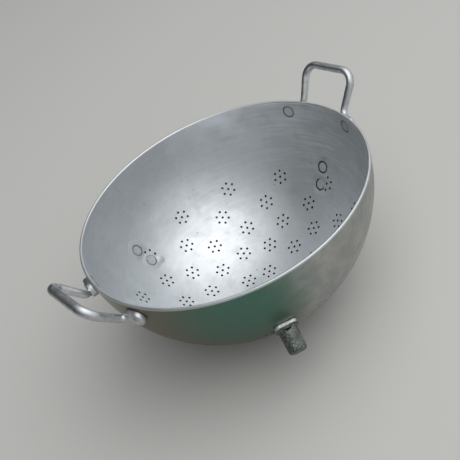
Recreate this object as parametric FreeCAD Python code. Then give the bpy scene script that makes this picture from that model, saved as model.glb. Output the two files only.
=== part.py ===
"""Hemispherical aluminium colander with two riveted loop handles and three stub feet.

Units are millimetres, +Z is up.  The origin is the centre of the small flat the bowl
stands on.  +X points to the right-hand handle; angles are counted anticlockwise
from there.  "Polar" angles are counted at the centre of the sphere from straight down.
"""
import FreeCAD, Part
import math
import os

V = FreeCAD.Vector

# ---------------------------------------------------------------- bowl
BOWL_R = 130.0            # outer radius of the spherical wall
WALL_T = 2.6              # sheet thickness
FLAT_R = 18.0             # radius of the flat spun into the bottom
RIM_BELOW_CENTRE = 3.5    # the rim is this far under the centre of the sphere
RIM_ROUND = 1.25          # rounding of both edges of the rim

CENTRE_Z = math.sqrt(BOWL_R ** 2 - FLAT_R ** 2)
RIM_Z = CENTRE_Z - RIM_BELOW_CENTRE
INNER_R = BOWL_R - WALL_T

# ---------------------------------------------------------------- draining holes
HOLE_D = 2.3              # one round hole
FLOWER_R = 6.2            # a flower is six holes on this radius round a seventh
# The flowers were punched by eye: part of each ring runs at a slightly wide pitch and
# the rest of the ring shares what is left.
# (polar angle, flowers in the ring, azimuth of the first, wide pitch, flowers at that pitch)
FLOWER_RINGS = (
    (0.0, 1, 0.0, 0.0, 1),
    (10.3, 6, 33.8, 56.4, 2),
    (23.5, 12, -26.0, 31.1, 6),
    (34.2, 12, -5.8, 30.3, 6),
    (43.4, 12, 5.8, 31.1, 5),
    (54.0, 12, -4.3, 30.9, 6),
)

# ---------------------------------------------------------------- handles
HANDLE_ANGLES = {"right": 0.0, "left": 180.0}
HANDLE_RIVET_POLAR = 83.5
HANDLE_RIVET_SPREAD = 16.4      # degrees each side of the handle's middle
# Each loop was bent by hand, so the two differ by a few millimetres.  All points lie on
# the centreline of the bar; heights are counted from the rim.
# (grip radius, grip height, half grip width, ankle radius, ankle height, half ankle width)
LOOPS = {
    "right": (154.7, 22.2, 28.6, 134.3, -6.0, 25.0),
    "left": (156.3, 19.9, 31.6, 135.0, -10.0, 25.7),
}
NECK_ANGLE = 2.6                # the bar ends this many degrees short of the rivet
CORNER_BEND = 11.5              # bend radii on the centreline
ANKLE_BEND = 6.5
# Oval section of the bar, (across the loop's plane, in the loop's plane)
GRIP_OVAL = (8.6, 6.9)
LEG_OVAL = (7.4, 6.4)
NECK_OVAL = (6.2, 6.0)
LEG_STATION = 0.45              # place of the leg section, ankle 0 to corner 1
LUG_W = 13.4                    # flattened end of the bar
LUG_T = 5.2
LUG_TAIL = 7.0                  # the flattened end starts this far before the rivet
LUG_ROUND = 1.8
LUG_LIFT = 2.6                  # the bar ends this far outside the wall
HEAD_SEAT = 4.4                 # spot-faced flat on the lug for the rivet head

# ---------------------------------------------------------------- handle rivets
RIVET_D = 5.0
RIVET_HEAD_D = 8.4              # domed head on the lug
RIVET_HEAD_H = 2.5
FLUSH_D = 10.0                  # head hammered flush inside the bowl
FLUSH_T = 1.0
FLUSH_GAP = 0.25                # ring of clearance round the flush head

# ---------------------------------------------------------------- feet
FOOT_ANGLES = {"a": 0.0, "b": 121.3, "c": 244.5}
FOOT_POLAR = 56.5
PAD_WIDTH = 19.8                # along the hoop direction
PAD_HEIGHT = 27.0               # along the meridian
PAD_T = 3.0
PAD_CORNER = 5.0
STUB_ROOT_R = 8.6
STUB_TIP_R = 7.9
STUB_LENGTH = 22.8              # from the bowl's surface to the end of the stub
STUB_TIP_ROUND = 2.4
GROOVE_OFFSETS = (4.8, 7.7)     # turned grooves, above the pad
GROOVE_R = 0.45
FOOT_RIVET_POLARS = {"lower": 52.8, "upper": 60.3}
FOOT_RIVET_D = 4.0
FOOT_RIVET_HEAD_D = 5.8
FOOT_RIVET_HEAD_H = 1.5
RELIEF_D = 6.8                  # hollow in the root of the stub for the rivet head
RELIEF_H = 2.3


# ================================================================ helpers
def rotate_z(shape, degrees):
    """A copy of the shape turned about the bowl's axis."""
    turned = shape.copy()
    turned.rotate(V(0, 0, 0), V(0, 0, 1), degrees)
    return turned


def wall_normal(polar, azimuth):
    """Unit vector pointing out of the bowl at a place on the wall."""
    p = math.radians(polar)
    a = math.radians(azimuth)
    return V(math.sin(p) * math.cos(a), math.sin(p) * math.sin(a), -math.cos(p))


def wall_point(polar, azimuth, height=0.0):
    """Point at a height above the outer surface of the bowl."""
    return V(0, 0, CENTRE_Z) + wall_normal(polar, azimuth) * (BOWL_R + height)


def wall_placement(polar, azimuth):
    """Local frame on the outer surface: Z out of the bowl, X up the meridian."""
    outward = wall_normal(polar, azimuth)
    a = math.radians(azimuth)
    hoop = V(-math.sin(a), math.cos(a), 0)
    up = hoop.cross(outward)
    rotation = FreeCAD.Rotation(up, hoop, outward, "ZXY")
    return FreeCAD.Placement(wall_point(polar, azimuth), rotation)


def placed(shape, placement):
    """A copy of a shape built at the local origin, moved onto the wall."""
    moved = shape.copy()
    moved.Placement = placement.multiply(moved.Placement)
    return moved


def ball(radius):
    """Solid sphere round the centre of the bowl."""
    return Part.makeSphere(radius, V(0, 0, CENTRE_Z), V(0, 0, 1), -90, 90, 360)


def dome(radius, height, base_z):
    """Spherical cap standing on the plane at base_z."""
    cap_r = (radius ** 2 + height ** 2) / (2 * height)
    centre = V(0, 0, base_z + height - cap_r)
    cap = Part.makeSphere(cap_r, centre)
    keep = Part.makeCylinder(radius + 1, height + 1, V(0, 0, base_z))
    return cap.common(keep)


def cylinder(radius, z0, z1):
    """Cylinder along local Z between two heights."""
    return Part.makeCylinder(radius, z1 - z0, V(0, 0, z0))


def rivet(shank_d, head_d, head_h, seat):
    """Dome at the seat height outside, shank, head hammered flush inside the bowl."""
    shank = cylinder(shank_d / 2, -WALL_T, seat)
    flush = cylinder(FLUSH_D / 2, -WALL_T, -WALL_T + FLUSH_T)
    return shank.fuse([flush, dome(head_d / 2, head_h, seat)]).removeSplitter()


# ================================================================ bowl
def bowl_shell():
    """Spun hemisphere with a small flat bottom and a rounded rim."""
    outer_rim = math.sqrt(BOWL_R ** 2 - RIM_BELOW_CENTRE ** 2)
    inner_rim = math.sqrt(INNER_R ** 2 - RIM_BELOW_CENTRE ** 2)
    inner_flat = math.sqrt(INNER_R ** 2 - (CENTRE_Z - WALL_T) ** 2)
    half = math.radians(45)
    mid = V(math.sin(half), 0, -math.cos(half))
    centre = V(0, 0, CENTRE_Z)
    p0 = V(0, 0, 0)
    p1 = V(FLAT_R, 0, 0)
    p2 = V(outer_rim, 0, RIM_Z)
    p3 = V(inner_rim, 0, RIM_Z)
    p4 = V(inner_flat, 0, WALL_T)
    p5 = V(0, 0, WALL_T)
    edges = [
        Part.makeLine(p0, p1),
        Part.Arc(p1, centre + mid * BOWL_R, p2).toShape(),
        Part.makeLine(p2, p3),
        Part.Arc(p3, centre + mid * INNER_R, p4).toShape(),
        Part.makeLine(p4, p5),
        Part.makeLine(p5, p0),
    ]
    shell = Part.Face(Part.Wire(edges)).revolve(V(0, 0, 0), V(0, 0, 1), 360)
    shell = Part.Solid(shell.Shells[0]) if shell.ShapeType != "Solid" else shell
    rim_edges = [e for e in shell.Edges
                 if abs(e.BoundBox.ZMin - RIM_Z) < 1e-6 and abs(e.BoundBox.ZMax - RIM_Z) < 1e-6]
    return shell.makeFillet(RIM_ROUND, rim_edges)


def fastener_seats():
    """(placement, shank radius) of everything riveted through the wall."""
    seats = []
    for angle in HANDLE_ANGLES.values():
        for side in (-1, 1):
            where = wall_placement(HANDLE_RIVET_POLAR, angle + side * HANDLE_RIVET_SPREAD)
            seats.append((where, RIVET_D / 2))
    for angle in FOOT_ANGLES.values():
        for polar in FOOT_RIVET_POLARS.values():
            seats.append((wall_placement(polar, angle), FOOT_RIVET_D / 2))
    return seats


def flush_recess(shank_r):
    """Cutter for one rivet hole with its recess on the inside of the bowl."""
    recess = cylinder(FLUSH_D / 2 + FLUSH_GAP, -WALL_T - 3.0, -WALL_T + FLUSH_T)
    hole = cylinder(shank_r, -WALL_T - 1.0, 2.0)
    return recess.fuse(hole)


def flower_azimuths(count, first, pitch, wide):
    """Azimuth of every flower in a ring."""
    angles = [first + pitch * i for i in range(wide)]
    left = count - wide
    rest = (360.0 - pitch * (wide - 1)) / (left + 1)
    return angles + [angles[-1] + rest * (i + 1) for i in range(left)]


def flower_spots():
    """The seven hole positions of a flower; one petal points up the meridian."""
    petals = [math.radians(60 * k) for k in range(6)]
    ring = [V(FLOWER_R * math.cos(t), FLOWER_R * math.sin(t), 0) for t in petals]
    return [V(0, 0, 0)] + ring


def flower_holes(seats):
    """One cutter per draining hole, leaving out holes covered by a rivet head."""
    clear = FLUSH_D / 2 + HOLE_D / 2 + 0.4
    cutters = []
    for polar, count, first, pitch, wide in FLOWER_RINGS:
        for azimuth in flower_azimuths(count, first, pitch, wide):
            frame = wall_placement(polar, azimuth)
            for spot in flower_spots():
                middle = frame.multVec(spot)
                if all((middle - seat.Base).Length > clear for seat, _ in seats):
                    cutters.append(drain_cutter(middle))
    return cutters


def drain_cutter(middle):
    """Cylinder square to the wall through a point on its outer surface."""
    outward = (middle - V(0, 0, CENTRE_Z)).normalize()
    start = V(0, 0, CENTRE_Z) + outward * (INNER_R - 2.0)
    return Part.makeCylinder(HOLE_D / 2, WALL_T + 4.0, start, outward)


def make_bowl():
    seats = fastener_seats()
    shell = bowl_shell()
    recesses = [placed(flush_recess(r), where) for where, r in seats]
    return shell.cut(recesses).cut(flower_holes(seats))


# ================================================================ handles
def loop_corners(name):
    """Corner points of one loop at azimuth zero, from one lug to the other."""
    grip_radius, grip_height, grip_half, ankle_radius, ankle_height, ankle_half = LOOPS[name]
    half = [
        wall_point(HANDLE_RIVET_POLAR, HANDLE_RIVET_SPREAD - NECK_ANGLE, LUG_LIFT),
        V(ankle_radius, ankle_half, RIM_Z + ankle_height),
        V(grip_radius, grip_half, RIM_Z + grip_height),
    ]
    return [V(p.x, -p.y, p.z) for p in half] + half[::-1]


def rounded_path(points, radii):
    """Wire through the points with every inner corner rounded to its radius."""
    edges = []
    start = points[0]
    for before, corner, after, radius in zip(points, points[1:], points[2:], radii):
        back = (before - corner).normalize()
        ahead = (after - corner).normalize()
        half_angle = back.getAngle(ahead) / 2
        trim = radius / math.tan(half_angle)
        inward = (back + ahead).normalize()
        middle = corner + inward * (radius / math.sin(half_angle) - radius)
        edges.append(Part.makeLine(start, corner + back * trim))
        edges.append(Part.Arc(corner + back * trim, middle, corner + ahead * trim).toShape())
        start = corner + ahead * trim
    edges.append(Part.makeLine(start, points[-1]))
    return Part.Wire(edges)


def oval(centre, along, across, size):
    """Elliptical section square to the bar; its long axis lies towards `across`."""
    long_axis = (across - along * across.dot(along)).normalize()
    rotation = FreeCAD.Rotation(long_axis, along.cross(long_axis), along, "ZXY")
    section = Part.Wire([Part.Ellipse(V(0, 0, 0), size[0] / 2, size[1] / 2).toShape()])
    section.Placement = FreeCAD.Placement(centre, rotation)
    return section


def handle_bar(name):
    """Bar bent into an open loop, thick and oval at the grip, slimmer at the necks."""
    neck, ankle, corner, far_corner, far_ankle, far_neck = loop_corners(name)
    path = rounded_path(
        [neck, ankle, corner, far_corner, far_ankle, far_neck],
        (ANKLE_BEND, CORNER_BEND, CORNER_BEND, ANKLE_BEND),
    )
    across = (corner - ankle).cross(V(0, 1, 0)).normalize()
    rise = (corner - ankle).normalize()
    fall = (far_ankle - far_corner).normalize()
    sections = [
        oval(neck, (ankle - neck).normalize(), across, NECK_OVAL),
        oval(ankle + (corner - ankle) * LEG_STATION, rise, across, LEG_OVAL),
        oval((corner + far_corner) * 0.5, V(0, 1, 0), across, GRIP_OVAL),
        oval(far_ankle + (far_corner - far_ankle) * LEG_STATION, fall, across, LEG_OVAL),
        oval(far_neck, (far_neck - far_ankle).normalize(), across, NECK_OVAL),
    ]
    return path.makePipeShell(sections, True, False)


def lug(side):
    """Flattened end of the bar, round past the rivet, standing on the local origin."""
    tail = V(0, -side * LUG_TAIL, 0)
    low = V(0, 0, -2.0)
    ends = [Part.makeCylinder(LUG_W / 2, LUG_T + 2.0, low + shift) for shift in (V(0, 0, 0), tail)]
    corner = V(-LUG_W / 2, min(tail.y, 0), -2.0)
    middle = Part.makeBox(LUG_W, LUG_TAIL, LUG_T + 2.0, corner)
    plate = ends[0].fuse([ends[1], middle]).removeSplitter()
    top = [e for e in plate.Edges
           if abs(e.BoundBox.ZMin - LUG_T) < 1e-6 and abs(e.BoundBox.ZMax - LUG_T) < 1e-6]
    return plate.makeFillet(LUG_ROUND, top)


def make_handle(name, angle):
    """Handle with its lugs fitted to the wall and drilled for the rivets."""
    body = handle_bar(name)
    cutters = []
    for side in (-1, 1):
        seat = wall_placement(HANDLE_RIVET_POLAR, side * HANDLE_RIVET_SPREAD)
        body = body.fuse(placed(lug(side), seat))
        cutters.append(placed(cylinder(RIVET_D / 2, -3.0, LUG_T + 6.0), seat))
        cutters.append(placed(cylinder(RIVET_HEAD_D / 2 + 0.3, HEAD_SEAT, LUG_T + 6.0), seat))
    return rotate_z(body.cut(ball(BOWL_R)).cut(cutters).removeSplitter(), angle)


def make_handle_rivet(angle, side):
    """Domed head on the lug, shank through lug and wall, head hammered flush inside."""
    body = rivet(RIVET_D, RIVET_HEAD_D, RIVET_HEAD_H, HEAD_SEAT)
    return placed(body, wall_placement(HANDLE_RIVET_POLAR, angle + side * HANDLE_RIVET_SPREAD))


# ================================================================ feet
def foot_pad():
    """Rounded rectangular pad bent to the sphere, square to the stub at its middle."""
    block = Part.makeBox(PAD_HEIGHT, PAD_WIDTH, PAD_T + 12.0, V(-PAD_HEIGHT / 2, -PAD_WIDTH / 2, -6.0))
    upright = [e for e in block.Edges if abs(e.BoundBox.ZLength - (PAD_T + 12.0)) < 1e-6]
    return block.makeFillet(PAD_CORNER, upright)


def stub():
    """Tapered stub with a rounded end and turned grooves near the pad."""
    cone = Part.makeCone(STUB_ROOT_R, STUB_TIP_R, STUB_LENGTH + 4.0, V(0, 0, -4.0))
    tip = [e for e in cone.Edges if e.Closed and abs(e.BoundBox.ZMax - STUB_LENGTH) < 1e-6
           and abs(e.BoundBox.ZLength) < 1e-6]
    cone = cone.makeFillet(STUB_TIP_ROUND, tip)
    grooves = []
    for offset in GROOVE_OFFSETS:
        z = PAD_T + offset
        radius = STUB_ROOT_R + (STUB_TIP_R - STUB_ROOT_R) * (z + 4.0) / (STUB_LENGTH + 4.0)
        grooves.append(Part.makeTorus(radius, GROOVE_R, V(0, 0, z)))
    return cone.cut(grooves)


def make_foot(angle):
    """Cast foot: pad and stub in one piece, relieved and drilled for two rivets."""
    where = wall_placement(FOOT_POLAR, angle)
    pad = placed(foot_pad(), where).common(ball(BOWL_R + PAD_T))
    body = pad.fuse(placed(stub(), where)).cut(ball(BOWL_R))
    cutters = []
    for polar in FOOT_RIVET_POLARS.values():
        seat = wall_placement(polar, angle)
        cutters.append(placed(dome(RELIEF_D / 2, RELIEF_H, PAD_T), seat))
        cutters.append(placed(cylinder(FOOT_RIVET_D / 2, -3.0, PAD_T + 1.0), seat))
    return body.cut(cutters).removeSplitter()


def make_foot_rivet(angle, polar):
    """Small rivet: its dome sits in the hollow at the root of the stub."""
    body = rivet(FOOT_RIVET_D, FOOT_RIVET_HEAD_D, FOOT_RIVET_HEAD_H, PAD_T)
    return placed(body, wall_placement(polar, angle))


# ================================================================ export
def all_parts():
    """Every separate piece of the colander by name."""
    parts = {"bowl": make_bowl()}
    for name, angle in HANDLE_ANGLES.items():
        parts["handle_" + name] = make_handle(name, angle)
        for end, side in (("front", -1), ("back", 1)):
            parts["rivet_handle_%s_%s" % (name, end)] = make_handle_rivet(angle, side)
    for name, angle in FOOT_ANGLES.items():
        parts["foot_" + name] = make_foot(angle)
        for end, polar in FOOT_RIVET_POLARS.items():
            parts["rivet_foot_%s_%s" % (name, end)] = make_foot_rivet(angle, polar)
    return parts


def main():
    os.makedirs("parts", exist_ok=True)
    for name, shape in all_parts().items():
        solid = shape.Solids[0] if len(shape.Solids) == 1 else shape
        print(name, "solids", len(shape.Solids), "valid", shape.isValid(), "volume", round(shape.Volume, 1))
        solid.exportStep("parts/%s.step" % name)


main()
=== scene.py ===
"""Looks for the riveted aluminium colander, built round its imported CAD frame.

Everything is in metres in the CAD frame: +Z up the axis of the bowl, origin under its
flat bottom, +X through the right-hand handle.
"""

import math

import bpy
import numpy as np
from mathutils import Matrix, Vector, noise
from mathutils.geometry import delaunay_2d_cdt


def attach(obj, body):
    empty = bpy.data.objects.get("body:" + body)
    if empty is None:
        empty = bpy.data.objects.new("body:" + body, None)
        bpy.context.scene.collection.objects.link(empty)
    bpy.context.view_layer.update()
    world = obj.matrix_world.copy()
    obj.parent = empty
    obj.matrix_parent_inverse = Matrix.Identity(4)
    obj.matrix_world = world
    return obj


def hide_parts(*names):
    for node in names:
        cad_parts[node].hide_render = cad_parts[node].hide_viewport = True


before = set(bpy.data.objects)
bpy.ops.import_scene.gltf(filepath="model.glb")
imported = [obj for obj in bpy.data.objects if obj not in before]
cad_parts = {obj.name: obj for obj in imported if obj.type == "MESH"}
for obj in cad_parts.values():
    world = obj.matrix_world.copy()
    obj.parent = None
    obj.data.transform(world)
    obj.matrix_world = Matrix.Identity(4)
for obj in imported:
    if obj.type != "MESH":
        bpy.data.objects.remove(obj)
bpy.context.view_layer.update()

MM = 0.001

# ------------------------------------------------------------ sizes shared with the CAD
BOWL_R = 130.0 * MM
WALL_T = 2.6 * MM
FLAT_R = 18.0 * MM
CENTRE_Z = math.sqrt(BOWL_R ** 2 - FLAT_R ** 2)
RIM_Z = CENTRE_Z - 3.5 * MM
INNER_R = BOWL_R - WALL_T
CENTRE = np.array([0.0, 0.0, CENTRE_Z])
CENTRE_MM = tuple(CENTRE / MM)
RIM_SEGMENTS = 300
RIM_STEPS = 10
CREASE_POINTS = 72
GRID_STEP = 1.5

HOLE_R = 1.15 * MM
HOLE_EDGE = 0.08 * MM
# Painted shade: each hole narrows to this radius halfway through the wall, in a collar painted almost
# black, so the holes read dark.
HOLE_SHADE_COLLAR_R = 0.32 * MM
HOLE_CLEAR = 0.4 * MM
HOLE_SEGMENTS = 16
FLOWER_R = 6.2 * MM
FLOWER_RINGS = (
    (0.0, 1, 0.0, 0.0, 1),
    (10.3, 6, 33.8, 56.4, 2),
    (23.5, 12, -26.0, 31.1, 6),
    (34.2, 12, -5.8, 30.3, 6),
    (43.4, 12, 5.8, 31.1, 5),
    (54.0, 12, -4.3, 30.9, 6),
)

HANDLE_ANGLES = {"right": 0.0, "left": 180.0}
HANDLE_RIVET_POLAR = 83.5
HANDLE_RIVET_SPREAD = 16.4
FOOT_ANGLES = {"a": 0.0, "b": 121.3, "c": 244.5}
GRIME_SHARE = {0.0: 1.0, 121.3: 0.55, 244.5: 0.8}
HANDLE_GRIME_SHARE = 0.55
GRIME_ON_WALL = (6.3, 5.75)
GRIME_ON_HEAD = (4.1, 4.65)
STAIN_REACH = (13.0, 5.0)
DIMPLE_REACH = (12.0, 4.0)
FOOT_RIVET_POLARS = {"lower": 52.8, "upper": 60.3}
FLUSH_R = 5.0 * MM
FLUSH_T = 1.0 * MM
FLUSH_GAP = 0.25 * MM
HANDLE_RIVET_R = 2.5 * MM
FOOT_RIVET_R = 2.2 * MM
RIVET_SEGMENTS = 40
RECESS_EDGE = 0.15 * MM

# ------------------------------------------------------------ tones
# Painted shade: dark tone for the inside near the rim by the right-hand handle.
INSIDE_SHADE_TONE = (0.30, 0.31, 0.305, 1)
OUTSIDE_DARK = (0.35, 0.36, 0.345, 1)
OUTSIDE_PALE = (0.46, 0.47, 0.455, 1)
# Painted reflection: teal patch on the near outside, standing in for a teal object reflected there.
PAINTED_TEAL_REFLECTION = (0.09, 0.21, 0.165, 1)
# Painted reflection: dark brown patch on the lower near outside, standing in for the brown table reflected
# there.
PAINTED_BROWN_REFLECTION = (0.16, 0.145, 0.09, 1)
# Place of the painted teal reflection on the outside (polar, azimuth).
TEAL_REFLECTION_PLACE = (81, 233)
# Place of the painted brown reflection on the outside (polar, azimuth).
BROWN_REFLECTION_PLACE = (74, 216)
# Middle of the painted shade inside, near the rim by the right-hand handle (polar, azimuth).
INSIDE_SHADE_PLACE = (86, 0)
INSIDE_BRIGHT = (0.71, 0.73, 0.745, 1)
INSIDE_MID = (0.62, 0.64, 0.655, 1)
GRIME = (0.055, 0.055, 0.04, 1)
BLOTCH = (0.022, 4.0, 0.55, 0.5)
DENTS = ((49.5, 117.5, 5.5, 0.7), (40.0, 60.0, 10.0, 0.25))
INSIDE_ROUGH = 0.47
OUTSIDE_ROUGH = 0.46
BAR_PALE = (0.68, 0.695, 0.705, 1)
BAR_DULL = (0.51, 0.525, 0.535, 1)
CAST_PALE = (0.20, 0.215, 0.20, 1)
CAST_DULL = (0.095, 0.115, 0.105, 1)

# ------------------------------------------------------------ light
KEY_DIRECTION = (0.19, -0.26, 0.947)
KEY_DISTANCE = 1.6
KEY_SIZE = (2.3, 1.6)
KEY_POWER = 11.2
SKY_DIRECTION = (0.40, -0.62, 0.67)
SKY_LOW = 0.04
SKY_HIGH = 0.90

# ------------------------------------------------------------ floor and camera
FLOOR_HALF = 6
FLOOR_COLOUR = (0.62, 0.60, 0.57, 1)
CAMERA_PLACE = (-0.23577, -0.46878, 0.47947)
CAMERA_AIM = (-0.01345, -0.01561, 0.09881)
CAMERA_ROLL = -26.07
CAMERA_LENS = 58.7


# ============================================================ geometry helpers
def wall_axes(polar, azimuth):
    """Outward, up-the-meridian and hoop unit vectors at a place on the wall (degrees)."""
    p, a = math.radians(polar), math.radians(azimuth)
    outward = np.array([math.sin(p) * math.cos(a), math.sin(p) * math.sin(a), -math.cos(p)])
    hoop = np.array([-math.sin(a), math.cos(a), 0.0])
    return outward, np.cross(hoop, outward), hoop


def surface_height(outward, offset, radius, drop):
    """Distance along `outward` from the centre to a layer of the wall, at a sideways offset.

    The layer is a sphere of the given radius, cut off by the flat `drop` below the centre.
    """
    sphere = math.sqrt(radius ** 2 - float(offset @ offset))
    down = -outward[2]
    if down < 0.5:
        return sphere
    flat = (drop + offset[2]) / down
    return min(sphere, flat)


def mesh_object(name, vertices, faces, smooth=True):
    """New mesh object in the scene from plain lists."""
    mesh = bpy.data.meshes.new(name)
    mesh.from_pydata([tuple(v) for v in vertices], [], faces)
    mesh.validate()
    mesh.update()
    for polygon in mesh.polygons:
        polygon.use_smooth = smooth
    obj = bpy.data.objects.new(name, mesh)
    bpy.context.scene.collection.objects.link(obj)
    return obj


# ============================================================ bowl
class Port:
    """A round opening through the wall, described by rings from the inside to the outside."""

    def __init__(self, polar, azimuth, segments, rings, offset=(0.0, 0.0)):
        outward, up, hoop = wall_axes(polar, azimuth)
        centre = outward * BOWL_R + up * offset[0] + hoop * offset[1]
        self.outward = centre / np.linalg.norm(centre)
        self.up = up - self.outward * (up @ self.outward)
        self.up /= np.linalg.norm(self.up)
        self.hoop = np.cross(self.outward, self.up)
        self.segments = segments
        self.rings = rings

    def ring_points(self, radius, depth):
        """Points of one ring; depth counts from the inner surface, 0, to the outer, 1."""
        points = []
        for k in range(self.segments):
            t = 2 * math.pi * k / self.segments
            offset = (self.up * math.cos(t) + self.hoop * math.sin(t)) * radius
            inner = surface_height(self.outward, offset, INNER_R, CENTRE_Z - WALL_T)
            outer = surface_height(self.outward, offset, BOWL_R, CENTRE_Z)
            height = inner + (outer - inner) * depth
            points.append(CENTRE + offset + self.outward * height)
        return points


def flower_azimuths(count, first, pitch, wide):
    """Azimuth of every flower in a ring."""
    angles = [first + pitch * i for i in range(wide)]
    left = count - wide
    rest = (360.0 - pitch * (wide - 1)) / (left + 1)
    return angles + [angles[-1] + rest * (i + 1) for i in range(left)]


def rivet_seats():
    """(polar, azimuth, shank radius) of every rivet."""
    seats = []
    for angle in HANDLE_ANGLES.values():
        for side in (-1, 1):
            seats.append((HANDLE_RIVET_POLAR, angle + side * HANDLE_RIVET_SPREAD, HANDLE_RIVET_R))
    for angle in FOOT_ANGLES.values():
        for polar in FOOT_RIVET_POLARS.values():
            seats.append((polar, angle, FOOT_RIVET_R))
    return seats


def all_ports():
    """Every draining hole and rivet recess in the wall."""
    recess = FLUSH_R + FLUSH_GAP
    rivets = []
    for polar, azimuth, shank in rivet_seats():
        rings = [
            (recess + RECESS_EDGE, 0.0),
            (recess, 0.12 * MM / WALL_T),
            (recess, FLUSH_T / WALL_T),
            (shank, FLUSH_T / WALL_T),
            (shank, 1.0),
        ]
        rivets.append(Port(polar, azimuth, RIVET_SEGMENTS, rings))
    edge = HOLE_EDGE / WALL_T
    rings = [
        (HOLE_R + HOLE_EDGE, 0.0),
        (HOLE_R, edge),
        (HOLE_R, 0.35),
        # Collar painted almost black: painted shade inside each hole.
        (HOLE_SHADE_COLLAR_R, 0.55),
        (HOLE_SHADE_COLLAR_R, 0.75),
        (HOLE_R, 1 - edge),
        (HOLE_R + HOLE_EDGE, 1.0),
    ]
    holes = []
    turns = [math.radians(60 * k) for k in range(6)]
    petals = [(0.0, 0.0)] + [(FLOWER_R * math.cos(turn), FLOWER_R * math.sin(turn)) for turn in turns]
    clear = FLUSH_R + HOLE_R + HOLE_CLEAR
    for polar, count, first, pitch, wide in FLOWER_RINGS:
        for azimuth in flower_azimuths(count, first, pitch, wide):
            for petal in petals:
                port = Port(polar, azimuth, HOLE_SEGMENTS, rings, petal)
                gaps = [np.linalg.norm(port.outward - r.outward) * BOWL_R for r in rivets]
                if min(gaps) > clear:
                    holes.append(port)
    return rivets + holes


def to_disc(points):
    """Azimuthal map of directions from the centre onto a flat disc, for triangulating."""
    d = points - CENTRE
    d = d / np.linalg.norm(d, axis=1)[:, None]
    polar = np.arccos(np.clip(-d[:, 2], -1, 1))
    azimuth = np.arctan2(d[:, 1], d[:, 0])
    return np.stack([polar * np.cos(azimuth), polar * np.sin(azimuth)], axis=1)


def grid_directions(edge_polar, step):
    """Evenly spread directions over the bowl, in rings up to just short of the edge."""
    out = [(0.0, 0.0, -1.0)]
    rings = int(edge_polar / step)
    for i in range(1, rings + 1):
        polar = math.radians(edge_polar * i / (rings + 0.8))
        count = max(6, int(2 * math.pi * math.sin(polar) / math.radians(step)))
        for k in range(count):
            a = 2 * math.pi * (k + 0.5 * (i % 2)) / count
            out.append((math.sin(polar) * math.cos(a), math.sin(polar) * math.sin(a), -math.cos(polar)))
    return np.array(out)


def wall_layer(ports, outer, edge_points):
    """Triangulated layer of the wall with every port cut out of it.

    Returns its points, its faces and, for each port and for the edge, the indices of the
    ring of points that the next piece of wall joins on to.
    """
    radius = BOWL_R if outer else INNER_R
    drop = CENTRE_Z if outer else CENTRE_Z - WALL_T
    none = np.zeros(3)
    ring_at = -1 if outer else 0
    points = []
    edges = []
    rings = []

    def add_loop(loop):
        start = len(points)
        points.extend(loop)
        count = len(loop)
        edges.extend((start + k, start + (k + 1) % count) for k in range(count))
        return list(range(start, start + count))

    edge_ring = add_loop(edge_points)
    for port in ports:
        rings.append(add_loop(port.ring_points(*port.rings[ring_at])))
    flat = math.asin(FLAT_R / BOWL_R)
    centres = np.array([p.outward for p in ports])
    reach = np.array([p.rings[ring_at][0] for p in ports])
    for port, size in zip(ports, reach):
        around = port.ring_points(size + 0.45 * MM, 1.0 if outer else 0.0)
        directions = np.array([(p - CENTRE) / np.linalg.norm(p - CENTRE) for p in around])
        for p, n in zip(around, directions):
            gap = np.linalg.norm(centres - n, axis=1) * radius - reach
            if gap.min() > 0.3 * MM:
                points.append(p)
    edge = edge_points[0] - CENTRE
    edge_polar = math.degrees(math.acos(-edge[2] / np.linalg.norm(edge)))
    crease = [(math.sin(flat) * math.cos(a), math.sin(flat) * math.sin(a), -math.cos(flat))
              for a in np.linspace(0, 2 * math.pi, CREASE_POINTS, endpoint=False)]
    for n in np.concatenate([grid_directions(edge_polar, GRID_STEP), np.array(crease)]):
        gap = np.linalg.norm(centres - n, axis=1) * radius - reach
        if gap.min() > 1.0 * MM:
            points.append(CENTRE + n * surface_height(n, none, radius, drop))
    points = np.array(points)
    disc = to_disc(points)
    result = delaunay_2d_cdt([Vector(p) for p in disc], edges, [], 0, 1e-7, True)
    faces, origin = result[2], result[3]
    index = [ids[0] if ids else -1 for ids in origin]
    tris = np.array([[index[i] for i in f] for f in faces])
    middle = points[tris].mean(axis=1) - CENTRE
    middle /= np.linalg.norm(middle, axis=1)[:, None]
    keep = np.ones(len(tris), bool)
    for n, size in zip(centres, reach):
        keep &= np.linalg.norm(middle - n, axis=1) * radius > size * 0.995
    tris = tris[keep]
    if outer:
        tris = tris[:, ::-1]
    return points, tris, rings, edge_ring


def rim_profile():
    """Half circle over the edge of the wall, from the inner layer to the outer."""
    round_r = WALL_T / 2
    mid_r = BOWL_R - round_r
    centre_z = RIM_Z - round_r
    drop = CENTRE_Z - centre_z
    rho = math.sqrt(mid_r ** 2 - drop ** 2)
    profile = []
    for i in range(RIM_STEPS + 1):
        t = math.pi * i / RIM_STEPS
        profile.append((rho - round_r * math.cos(t), centre_z + round_r * math.sin(t)))
    return profile


def rim_slopes():
    """Normal of the rim at every step of its profile, as (outward, up)."""
    turns = [math.pi * i / RIM_STEPS for i in range(RIM_STEPS + 1)]
    return [(-math.cos(turn), math.sin(turn)) for turn in turns]


def wall_normal(point, radius, drop, sign):
    """Normal of a layer of the wall; the flat blends softly into the sphere."""
    outward = (point - CENTRE) / np.linalg.norm(point - CENTRE)
    flat = math.sin(FLAT_R / BOWL_R) * radius
    reach = math.hypot(point[0], point[1])
    share = min(max((flat + 2.5 * MM - reach) / (5 * MM), 0.0), 1.0)
    blend = outward * (1 - share) + np.array([0.0, 0.0, -1.0]) * share
    return sign * blend / np.linalg.norm(blend)


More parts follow.
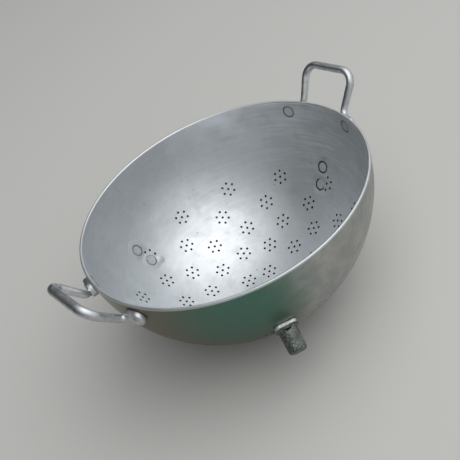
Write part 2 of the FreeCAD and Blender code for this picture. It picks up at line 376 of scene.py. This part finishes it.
def build_bowl():
    """The whole bowl as one closed mesh: two layers, rim and the walls of all holes."""
    ports = all_ports()
    count = RIM_SEGMENTS
    loops = []
    for rho, z in rim_profile():
        ring = []
        for k in range(count):
            a = 2 * math.pi * k / count
            ring.append(np.array([rho * math.cos(a), rho * math.sin(a), z]))
        loops.append(ring)
    in_points, in_tris, in_rings, in_edge = wall_layer(ports, False, loops[0])
    out_points, out_tris, out_rings, out_edge = wall_layer(ports, True, loops[-1])
    points = [in_points, out_points]
    shift = len(in_points)
    faces = in_tris.tolist() + (out_tris + shift).tolist()
    total = shift + len(out_points)
    normals = {}

    def bridge(a, b):
        n = len(a)
        faces.extend([a[k], a[(k + 1) % n], b[(k + 1) % n], b[k]] for k in range(n))

    previous = in_edge
    for ring, slope in list(zip(loops, rim_slopes()))[1:-1]:
        points.append(np.array(ring))
        ids = list(range(total, total + count))
        total += count
        for k, i in enumerate(ids):
            a = 2 * math.pi * k / count
            normals[i] = (slope[0] * math.cos(a), slope[0] * math.sin(a), slope[1])
        bridge(ids, previous)
        previous = ids
    bridge([i + shift for i in out_edge], previous)
    for port, ring_in, ring_out in zip(ports, in_rings, out_rings):
        previous = ring_in
        for radius, depth in port.rings[1:-1]:
            points.append(np.array(port.ring_points(radius, depth)))
            ids = list(range(total, total + port.segments))
            total += port.segments
            for k, i in enumerate(ids):
                a = 2 * math.pi * k / port.segments
                normals[i] = -(port.up * math.cos(a) + port.hoop * math.sin(a))
            bridge(ids, previous)
            previous = ids
        bridge([i + shift for i in ring_out], previous)
    for i, point in enumerate(in_points):
        normals[i] = wall_normal(point, INNER_R, CENTRE_Z - WALL_T, -1)
    for i, point in enumerate(out_points):
        normals[shift + i] = wall_normal(point, BOWL_R, CENTRE_Z, 1)
    obj = mesh_object("bowl_shell", np.concatenate(points), faces)
    obj.data.normals_split_custom_set_from_vertices([tuple(normals[i]) for i in range(total)])
    return obj


# ============================================================ handles and feet
def smooth_copy(node, voxel, rounds):
    """Detailed copy of a CAD node whose joints are blended like those of a casting."""
    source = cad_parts[node]
    work = source.copy()
    work.data = source.data.copy()
    bpy.context.scene.collection.objects.link(work)
    work.parent = None
    remesh = work.modifiers.new("remesh", "REMESH")
    remesh.mode = "VOXEL"
    remesh.voxel_size = voxel
    smooth = work.modifiers.new("smooth", "SMOOTH")
    smooth.factor = 0.5
    smooth.iterations = rounds
    bpy.context.view_layer.update()
    depsgraph = bpy.context.evaluated_depsgraph_get()
    mesh = bpy.data.meshes.new_from_object(work.evaluated_get(depsgraph))
    bpy.data.objects.remove(work)
    mesh.name = node + "_surface"
    for polygon in mesh.polygons:
        polygon.use_smooth = True
    obj = bpy.data.objects.new(node + "_surface", mesh)
    bpy.context.scene.collection.objects.link(obj)
    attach(obj, "root")
    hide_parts(node)
    return obj


# ============================================================ materials
class Nodes:
    """Small helper that wires shader nodes in one line each."""

    def __init__(self, name):
        self.material = bpy.data.materials.new(name)
        self.material.use_nodes = True
        self.tree = self.material.node_tree
        self.tree.nodes.clear()
        self.output = self.tree.nodes.new("ShaderNodeOutputMaterial")

    def put(self, socket, value):
        if isinstance(value, bpy.types.NodeSocket):
            self.tree.links.new(value, socket)
        else:
            socket.default_value = value

    def math(self, operation, a, b=0.0, c=0.0):
        node = self.tree.nodes.new("ShaderNodeMath")
        node.operation = operation
        for socket, value in zip(node.inputs, (a, b, c)):
            self.put(socket, value)
        return node.outputs[0]

    def vector(self, operation, a, b=(0, 0, 0), scale=None):
        node = self.tree.nodes.new("ShaderNodeVectorMath")
        node.operation = operation
        self.put(node.inputs[0], a)
        if operation not in ("LENGTH", "SCALE", "NORMALIZE"):
            self.put(node.inputs[1], b)
        if scale is not None:
            self.put(node.inputs["Scale"], scale)
        number = operation in ("LENGTH", "DISTANCE", "DOT_PRODUCT")
        return node.outputs["Value" if number else "Vector"]

    def split(self, vector):
        node = self.tree.nodes.new("ShaderNodeSeparateXYZ")
        self.put(node.inputs[0], vector)
        return node.outputs

    def join(self, x, y, z):
        node = self.tree.nodes.new("ShaderNodeCombineXYZ")
        for socket, value in zip(node.inputs, (x, y, z)):
            self.put(socket, value)
        return node.outputs[0]

    def noise(self, vector, scale, detail=3.0, rough=0.55, distortion=0.0):
        node = self.tree.nodes.new("ShaderNodeTexNoise")
        self.put(node.inputs["Vector"], vector)
        self.put(node.inputs["Scale"], scale)
        self.put(node.inputs["Detail"], detail)
        self.put(node.inputs["Roughness"], rough)
        self.put(node.inputs["Distortion"], distortion)
        return node.outputs["Fac"]

    def cells(self, vector, scale):
        node = self.tree.nodes.new("ShaderNodeTexVoronoi")
        self.put(node.inputs["Vector"], vector)
        self.put(node.inputs["Scale"], scale)
        return node.outputs["Distance"]

    def ramp(self, value, low, high, to_low=0.0, to_high=1.0):
        node = self.tree.nodes.new("ShaderNodeMapRange")
        node.interpolation_type = "SMOOTHSTEP"
        keys = ("Value", "From Min", "From Max", "To Min", "To Max")
        for key, item in zip(keys, (value, low, high, to_low, to_high)):
            self.put(node.inputs[key], item)
        return node.outputs["Result"]

    def mix(self, factor, a, b):
        node = self.tree.nodes.new("ShaderNodeMix")
        node.data_type = "RGBA"
        self.put(node.inputs["Factor"], factor)
        self.put(node.inputs["A"], a)
        self.put(node.inputs["B"], b)
        return node.outputs["Result"]

    def strongest(self, masks):
        """The highest of several masks at every point."""
        total = masks[0]
        for mask in masks[1:]:
            total = self.math("MAXIMUM", total, mask)
        return total

    def bump(self, height, distance, normal=None):
        node = self.tree.nodes.new("ShaderNodeBump")
        self.put(node.inputs["Height"], height)
        self.put(node.inputs["Distance"], distance)
        node.inputs["Strength"].default_value = 1.0
        if normal is not None:
            self.put(node.inputs["Normal"], normal)
        return node.outputs["Normal"]

    def position(self):
        """Object coordinates in millimetres."""
        node = self.tree.nodes.new("ShaderNodeTexCoord")
        return self.vector("SCALE", node.outputs["Object"], scale=1000.0)

    def metal(self, colour, roughness, normal, anisotropic=0.0, spun=False):
        shader = self.tree.nodes.new("ShaderNodeBsdfPrincipled")
        self.put(shader.inputs["Base Color"], colour)
        shader.inputs["Metallic"].default_value = 1.0
        self.put(shader.inputs["Roughness"], roughness)
        self.put(shader.inputs["Normal"], normal)
        shader.inputs["Anisotropic"].default_value = anisotropic
        if spun:
            tangent = self.tree.nodes.new("ShaderNodeTangent")
            tangent.direction_type = "RADIAL"
            tangent.axis = "Z"
            self.put(shader.inputs["Tangent"], tangent.outputs[0])
        self.tree.links.new(shader.outputs[0], self.output.inputs["Surface"])
        return self.material


def scratch_layers(n, p, turns, length, width, size):
    """Sparse short scratches: thin stretched cells, seen from several directions."""
    marks = []
    for turn, shift in turns:
        node = n.tree.nodes.new("ShaderNodeVectorRotate")
        node.rotation_type = "EULER_XYZ"
        n.put(node.inputs["Vector"], n.vector("ADD", p, shift))
        n.put(node.inputs["Rotation"], turn)
        stretched = n.vector("MULTIPLY", node.outputs[0], (1 / length, 1 / size, 1 / size))
        away = n.cells(stretched, 1.0)
        marks.append(n.ramp(away, width / size, 0.5 * width / size))
    return n.strongest(marks)


def inside_painted_shade(n, p):
    """Painted shade: the inside is darker near the rim on the side of the right-hand handle."""
    blotch = n.noise(p, *BLOTCH)
    near = n.math("ADD", towards(n, p, *INSIDE_SHADE_PLACE), n.math("MULTIPLY", blotch, 0.3))
    return n.ramp(near, 0.80, 1.13, 0.0, 0.62)


def grime_share(n, p, place, polar, azimuth):
    """How dirty the ring round a rivet is; the lower rivets of the feet are clean on one side."""
    if polar == HANDLE_RIVET_POLAR:
        return HANDLE_GRIME_SHARE
    share = GRIME_SHARE[azimuth]
    if polar == FOOT_RIVET_POLARS["upper"]:
        return share
    _, up, hoop = wall_axes(polar, azimuth)
    side = tuple(up * 0.75 + hoop * 0.65)
    lean = n.vector("DOT_PRODUCT", n.vector("SUBTRACT", p, place), side)
    return n.ramp(lean, -2.6, -0.6, 0.06 * share, share)


def seat_place(polar, azimuth):
    """Middle of a rivet on the inner surface, in millimetres."""
    return tuple((CENTRE + wall_axes(polar, azimuth)[0] * INNER_R) / MM)


def around_seats(n, p):
    """Masks round the inner rivet heads: dark ring of grime, wide stain, pulled-in dimple."""
    rings, stains, dimples = [], [], []
    for polar, azimuth, _ in rivet_seats():
        place = seat_place(polar, azimuth)
        away = n.vector("DISTANCE", p, place)
        share = grime_share(n, p, place, polar, azimuth)
        rings.append(n.math("MULTIPLY", n.ramp(away, *GRIME_ON_WALL), share))
        soft = 0.2 if polar == HANDLE_RIVET_POLAR else 1.0
        stains.append(n.ramp(away, *STAIN_REACH, 0.0, soft))
        dimples.append(n.ramp(away, *DIMPLE_REACH, 0.0, soft))
    return n.strongest(rings), n.strongest(stains), n.strongest(dimples)


def towards(n, p, polar, azimuth):
    """Cosine of the angle, at the centre, between each point and a place on the wall."""
    unit = n.vector("NORMALIZE", n.vector("SUBTRACT", p, CENTRE_MM))
    return n.vector("DOT_PRODUCT", unit, tuple(wall_axes(polar, azimuth)[0]))


def wall_coordinates(n, p):
    """Distance from the centre of the sphere and rings that follow the spinning marks."""
    d = n.vector("SUBTRACT", p, CENTRE_MM)
    radius = n.vector("LENGTH", d)
    z = n.split(n.vector("NORMALIZE", d))[2]
    polar = n.math("ARCCOSINE", n.math("MULTIPLY", z, -1.0))
    px, py = n.split(p)[0:2]
    reach = n.math("SQRT", n.math("ADD", n.math("MULTIPLY", px, px), n.math("MULTIPLY", py, py)))
    reach = n.math("MAXIMUM", reach, 1.0)
    cx = n.math("DIVIDE", px, reach)
    cy = n.math("DIVIDE", py, reach)
    along = n.math("MULTIPLY", polar, BOWL_R / MM)
    spun = n.join(along, n.math("MULTIPLY", cx, 9.0), n.math("MULTIPLY", cy, 9.0))
    return radius, spun


def bowl_material():
    """Spun sheet: satin, faint rings, blotchy oxide, scratches, grime round the rivets; painted teal and
    brown reflections outside, painted shade inside and in the holes.
    """
    n = Nodes("spun_aluminium")
    p = n.position()
    radius, spun = wall_coordinates(n, p)
    inside = n.ramp(radius, 128.9, 128.5)
    fine_rings = n.noise(spun, 2.0, 3.0, 0.6)
    ring_bands = n.noise(spun, 0.35, 4.0, 0.62)
    blotch = n.noise(p, *BLOTCH)
    cloud = n.noise(p, 0.075, 5.0, 0.65, 0.3)
    grain = n.noise(p, 1.3, 3.0, 0.7)

    colour = n.mix(n.ramp(blotch, 0.35, 0.65), INSIDE_MID, INSIDE_BRIGHT)
    colour = n.mix(n.ramp(cloud, 0.50, 0.72, 0.0, 0.35), colour, (0.52, 0.54, 0.54, 1))
    # Painted shade inside near the rim by the right-hand handle.
    colour = n.mix(inside_painted_shade(n, p), colour, INSIDE_SHADE_TONE)
    colour = n.mix(n.ramp(ring_bands, 0.42, 0.66, 0.0, 0.22), colour, (0.76, 0.78, 0.79, 1))
    dull = n.mix(n.ramp(cloud, 0.35, 0.68), OUTSIDE_DARK, OUTSIDE_PALE)
    # Painted reflection: dark brown patch on the lower near outside, its edge broken by the blotch noise.
    brown_reflection = n.math("ADD", towards(n, p, *BROWN_REFLECTION_PLACE), n.math("MULTIPLY", blotch, 0.16))
    brown_reflection = n.ramp(brown_reflection, 0.82, 1.02, 0.0, 0.85)
    # Painted reflection: teal patch on the near outside, its edge broken by the blotch noise.
    teal_reflection = n.math("ADD", towards(n, p, *TEAL_REFLECTION_PLACE), n.math("MULTIPLY", blotch, 0.10))
    teal_reflection = n.ramp(teal_reflection, 0.89, 1.07, 0.0, 0.95)
    dull = n.mix(teal_reflection, n.mix(brown_reflection, dull, PAINTED_BROWN_REFLECTION), PAINTED_TEAL_REFLECTION)
    colour = n.mix(inside, dull, colour)

    turns = (
        ((0.2, 0.5, 0.9), (3, 8, 5)),
        ((1.1, 0.3, 2.3), (41, 7, 19)),
        ((0.6, 1.2, 3.9), (11, 53, 29)),
    )
    scratches = scratch_layers(n, p, turns, 26.0, 0.30, 4.6)
    scratches = n.math("MULTIPLY", scratches, n.ramp(inside, 0.0, 1.0, 0.2, 1.0))
    colour = n.mix(n.math("MULTIPLY", scratches, 0.40), colour, (0.95, 0.96, 0.97, 1))
    speck = n.math("MULTIPLY", n.ramp(n.cells(p, 0.085), 0.085, 0.05), n.ramp(n.noise(p, 0.04), 0.50, 0.56))
    colour = n.mix(n.math("MULTIPLY", speck, 0.6), colour, (0.25, 0.25, 0.22, 1))

    ring, stain, dimple = around_seats(n, p)
    uneven = n.noise(p, 0.35, 3.0, 0.6)
    ring = n.math("MULTIPLY", n.math("MULTIPLY", ring, inside), n.ramp(uneven, 0.25, 0.55, 0.6, 1.0))
    stain = n.math("MULTIPLY", n.math("MULTIPLY", stain, inside), n.ramp(uneven, 0.45, 0.65))
    colour = n.mix(n.math("MULTIPLY", stain, 0.28), colour, (0.42, 0.37, 0.28, 1))
    colour = n.mix(n.math("MULTIPLY", ring, 0.93), colour, GRIME)

    pz = n.split(p)[2]
    rim = n.ramp(pz, RIM_Z / MM - 2.2, RIM_Z / MM - 1.3)
    # Painted shade: the walls of the holes and rivet recesses, and the collar in each hole, are painted
    # almost black.
    in_wall = n.math("MULTIPLY", n.ramp(radius, 127.42, 127.52), n.ramp(radius, 129.95, 129.75))
    hole_wall = n.math("MULTIPLY", in_wall, n.ramp(pz, RIM_Z / MM - 3.5, RIM_Z / MM - 4.0))
    colour = n.mix(n.math("MULTIPLY", hole_wall, 0.96), colour, (0.02, 0.02, 0.018, 1))
    colour = n.mix(n.math("MULTIPLY", rim, 0.6), colour, (0.80, 0.82, 0.83, 1))

    roughness = n.ramp(blotch, 0.3, 0.7, INSIDE_ROUGH + 0.04, INSIDE_ROUGH - 0.03)
    roughness = n.math("ADD", roughness, n.ramp(ring_bands, 0.3, 0.7, 0.03, -0.03))
    roughness = n.math("ADD", roughness, n.ramp(cloud, 0.4, 0.75, -0.02, 0.05))
    outside_rough = n.ramp(cloud, 0.3, 0.75, OUTSIDE_ROUGH - 0.03, OUTSIDE_ROUGH + 0.05)
    roughness = n.math("ADD", n.math("MULTIPLY", roughness, inside),
                       n.math("MULTIPLY", outside_rough, n.math("SUBTRACT", 1.0, inside)))
    roughness = n.math("ADD", roughness, n.math("MULTIPLY", n.math("MAXIMUM", ring, hole_wall), 0.35))

    height = n.math("MULTIPLY", fine_rings, 0.006)
    height = n.math("ADD", height, n.math("MULTIPLY", ring_bands, 0.035))
    height = n.math("ADD", height, n.math("MULTIPLY", n.noise(p, 0.04, 2.0), 0.45))
    height = n.math("ADD", height, n.math("MULTIPLY", grain, 0.006))
    height = n.math("ADD", height, n.math("MULTIPLY", n.math("MULTIPLY", dimple, inside), 0.45))
    height = n.math("SUBTRACT", height, n.math("MULTIPLY", scratches, 0.02))
    for polar, azimuth, width, depth in DENTS:
        place = seat_place(polar, azimuth)
        dent = n.math("MULTIPLY", n.ramp(n.vector("DISTANCE", p, place), width, 0.0), inside)
        height = n.math("ADD", height, n.math("MULTIPLY", dent, depth))
    return n.metal(colour, roughness, n.bump(height, MM), anisotropic=0.3, spun=True)


def worn_material(name, pale, dull, low, high, pits):
    """Rubbed aluminium for the handles; with pits, the rough castings of the feet."""
    n = Nodes(name)
    p = n.position()
    blotch = n.noise(p, 0.10, 5.0, 0.6)
    cloud = n.noise(p, 0.4, 4.0, 0.65)
    fine = n.noise(p, 2.2, 4.0, 0.7)
    colour = n.mix(n.ramp(blotch, 0.35, 0.65), dull, pale)
    dark = tuple(c * 0.5 for c in dull[:3]) + (1,)
    colour = n.mix(n.ramp(fine, 0.52, 0.72, 0.0, 0.25 + 0.3 * pits), colour, dark)
    glint = n.math("MULTIPLY", n.ramp(n.noise(p, 0.75, 3.0, 0.6), 0.52, 0.66), pits)
    colour = n.mix(n.math("MULTIPLY", glint, 0.5), colour, (0.56, 0.57, 0.52, 1))
    if pits:
        # Painted highlight: the upper edge of each foot's pad, just off the wall, is painted almost white.
        away = n.vector("SUBTRACT", p, CENTRE_MM)
        lift = n.split(n.vector("NORMALIZE", away))[2]
        near = n.ramp(n.vector("LENGTH", away), 134.4, 133.2)
        edge = n.math("MULTIPLY", near, n.ramp(lift, -0.50, -0.465))
        colour = n.mix(n.math("MULTIPLY", edge, 0.9), colour, (0.86, 0.87, 0.84, 1))
    roughness = n.ramp(cloud, 0.3, 0.7, low, high)
    height = n.math("MULTIPLY", cloud, 0.06 + 0.2 * pits)
    height = n.math("ADD", height, n.math("MULTIPLY", fine, 0.015 + 0.15 * pits))
    height = n.math("ADD", height, n.math("MULTIPLY", glint, 0.12))
    return n.metal(colour, roughness, n.bump(height, MM))


def rivet_grime(n, p):
    """Dirt that has crept over the edge of every inner rivet head."""
    edges = []
    for polar, azimuth, _ in rivet_seats():
        place = seat_place(polar, azimuth)
        away = n.vector("DISTANCE", p, place)
        edge = n.math("MULTIPLY", n.ramp(away, *GRIME_ON_HEAD), n.ramp(away, 8.0, 7.0))
        edges.append(n.math("MULTIPLY", edge, grime_share(n, p, place, polar, azimuth)))
    return n.math("MULTIPLY", n.strongest(edges), 0.88)


def rivet_material():
    """Hammered rivet: as bright as the wall inside the bowl, as dull as the casting on a foot."""
    n = Nodes("hammered_rivet")
    p = n.position()
    away = n.vector("SUBTRACT", p, CENTRE_MM)
    radius = n.vector("LENGTH", away)
    inside = n.ramp(radius, 129.0, 128.5)
    cloud = n.noise(p, 0.35, 4.0, 0.6)
    fine = n.noise(p, 1.8, 3.0, 0.65)
    colour = n.mix(n.ramp(cloud, 0.35, 0.65), (0.50, 0.51, 0.50, 1), (0.62, 0.63, 0.63, 1))
    low = n.ramp(n.split(p)[2], 88.0, 84.0)
    cast = n.mix(n.ramp(cloud, 0.35, 0.65), (0.15, 0.16, 0.15, 1), (0.24, 0.26, 0.24, 1))
    colour = n.mix(low, colour, cast)
    wall = n.mix(n.ramp(cloud, 0.35, 0.65), (0.56, 0.58, 0.59, 1), (0.66, 0.68, 0.69, 1))
    # Painted shade on the inner rivet heads near the rim by the right-hand handle, as on the wall.
    wall = n.mix(inside_painted_shade(n, p), wall, INSIDE_SHADE_TONE)
    colour = n.mix(inside, colour, wall)
    colour = n.mix(n.math("MULTIPLY", rivet_grime(n, p), inside), colour, GRIME)
    colour = n.mix(n.ramp(fine, 0.58, 0.75, 0.0, 0.3), colour, (0.30, 0.30, 0.28, 1))
    roughness = n.ramp(cloud, 0.3, 0.7, 0.34, 0.46)
    geometry = n.tree.nodes.new("ShaderNodeNewGeometry")
    inward = n.vector("SCALE", n.vector("NORMALIZE", away), scale=-1.0)
    lean = n.math("MULTIPLY", inside, 0.85)
    own = n.vector("SCALE", geometry.outputs["Normal"], scale=n.math("SUBTRACT", 1.0, lean))
    base = n.vector("ADD", own, n.vector("SCALE", inward, scale=lean))
    height = n.math("ADD", n.math("MULTIPLY", cloud, 0.10), n.math("MULTIPLY", fine, 0.03))
    return n.metal(colour, roughness, n.bump(height, MM, normal=n.vector("NORMALIZE", base)))


def rough_surface(obj, depth, size):
    """Press a casting's pits and ridges into the mesh itself."""
    mesh = obj.data
    count = len(mesh.vertices)
    co = np.empty(count * 3)
    normal = np.empty(count * 3)
    mesh.vertices.foreach_get("co", co)
    mesh.vertices.foreach_get("normal", normal)
    co = co.reshape(-1, 3)
    normal = normal.reshape(-1, 3)
    coarse = np.array([noise.noise(Vector(c / size)) for c in co])
    fine = np.array([noise.noise(Vector(c / (0.45 * size))) for c in co])
    shift = coarse + 0.5 * fine
    shift = np.clip(shift, -1.0, 0.9) - 0.9
    co += normal * (shift * depth)[:, None]
    mesh.vertices.foreach_set("co", co.ravel())
    mesh.update()


# ============================================================ build
bowl = build_bowl()
bowl.data.materials.append(bowl_material())
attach(bowl, "root")
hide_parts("bowl")

handle_metal = worn_material("rubbed_bar", BAR_PALE, BAR_DULL, 0.34, 0.46, 0.0)
for side in HANDLE_ANGLES:
    piece = smooth_copy("handle_" + side, 0.5 * MM, 12)
    piece.data.materials.clear()
    piece.data.materials.append(handle_metal)

foot_metal = worn_material("rough_casting", CAST_PALE, CAST_DULL, 0.36, 0.52, 1.0)
for key in FOOT_ANGLES:
    piece = smooth_copy("foot_" + key, 0.4 * MM, 4)
    rough_surface(piece, 0.28 * MM, 2.4 * MM)
    piece.data.materials.clear()
    piece.data.materials.append(foot_metal)

rivet_metal = rivet_material()
for node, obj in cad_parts.items():
    if node.startswith("rivet"):
        obj.data.materials.clear()
        obj.data.materials.append(rivet_metal)


# ============================================================ stage
def look_at(place, aim, roll):
    """Placement of a camera or a lamp that looks from one point at another."""
    back = (Vector(place) - Vector(aim)).normalized()
    right = Vector((0, 0, 1)).cross(back).normalized()
    up = back.cross(right)
    turn = Matrix.Rotation(math.radians(roll), 3, back)
    basis = Matrix((right, up, back)).transposed()
    return Matrix.Translation(place) @ (turn @ basis).to_4x4()


def soft_lamp(name, place, aim, size, power):
    """Rectangular area lamp aimed at a point."""
    light = bpy.data.lights.new(name, "AREA")
    light.shape = "RECTANGLE"
    light.size, light.size_y = size
    light.energy = power
    lamp = bpy.data.objects.new(name, light)
    lamp.matrix_world = look_at(place, aim, 0)
    bpy.context.scene.collection.objects.link(lamp)


corners = [(-FLOOR_HALF, -FLOOR_HALF, 0), (FLOOR_HALF, -FLOOR_HALF, 0),
           (FLOOR_HALF, FLOOR_HALF, 0), (-FLOOR_HALF, FLOOR_HALF, 0)]
floor = mesh_object("floor", corners, [(0, 1, 2, 3)], False)
paper = Nodes("floor_paper")
floor_shader = paper.tree.nodes.new("ShaderNodeBsdfPrincipled")
floor_shader.inputs["Base Color"].default_value = FLOOR_COLOUR
floor_shader.inputs["Roughness"].default_value = 0.9
paper.tree.links.new(floor_shader.outputs[0], paper.output.inputs["Surface"])
floor.data.materials.append(paper.material)

key_place = tuple(c * KEY_DISTANCE for c in KEY_DIRECTION)
soft_lamp("skylight", key_place, (0, 0, 0.06), KEY_SIZE, KEY_POWER)

world = bpy.data.worlds.new("studio")
bpy.context.scene.world = world
world.use_nodes = True
sky = world.node_tree
direction = sky.nodes.new("ShaderNodeTexCoord")
facing = sky.nodes.new("ShaderNodeVectorMath")
facing.operation = "DOT_PRODUCT"
facing.inputs[1].default_value = SKY_DIRECTION
fade = sky.nodes.new("ShaderNodeMapRange")
fade.interpolation_type = "SMOOTHSTEP"
fade.inputs["From Min"].default_value = -0.3
fade.inputs["From Max"].default_value = 1.0
fade.inputs["To Min"].default_value = SKY_LOW
fade.inputs["To Max"].default_value = SKY_HIGH
sky.links.new(direction.outputs["Generated"], facing.inputs[0])
sky.links.new(facing.outputs["Value"], fade.inputs["Value"])
sky.links.new(fade.outputs["Result"], sky.nodes["Background"].inputs["Strength"])
sky.nodes["Background"].inputs["Color"].default_value = (0.93, 0.97, 1.0, 1)

camera_data = bpy.data.cameras.new("camera")
camera_data.lens = CAMERA_LENS
camera_data.sensor_width = 36
camera = bpy.data.objects.new("camera", camera_data)
camera.matrix_world = look_at(CAMERA_PLACE, CAMERA_AIM, CAMERA_ROLL)
bpy.context.scene.collection.objects.link(camera)
bpy.context.scene.camera = camera
bpy.context.scene.view_settings.view_transform = "Standard"
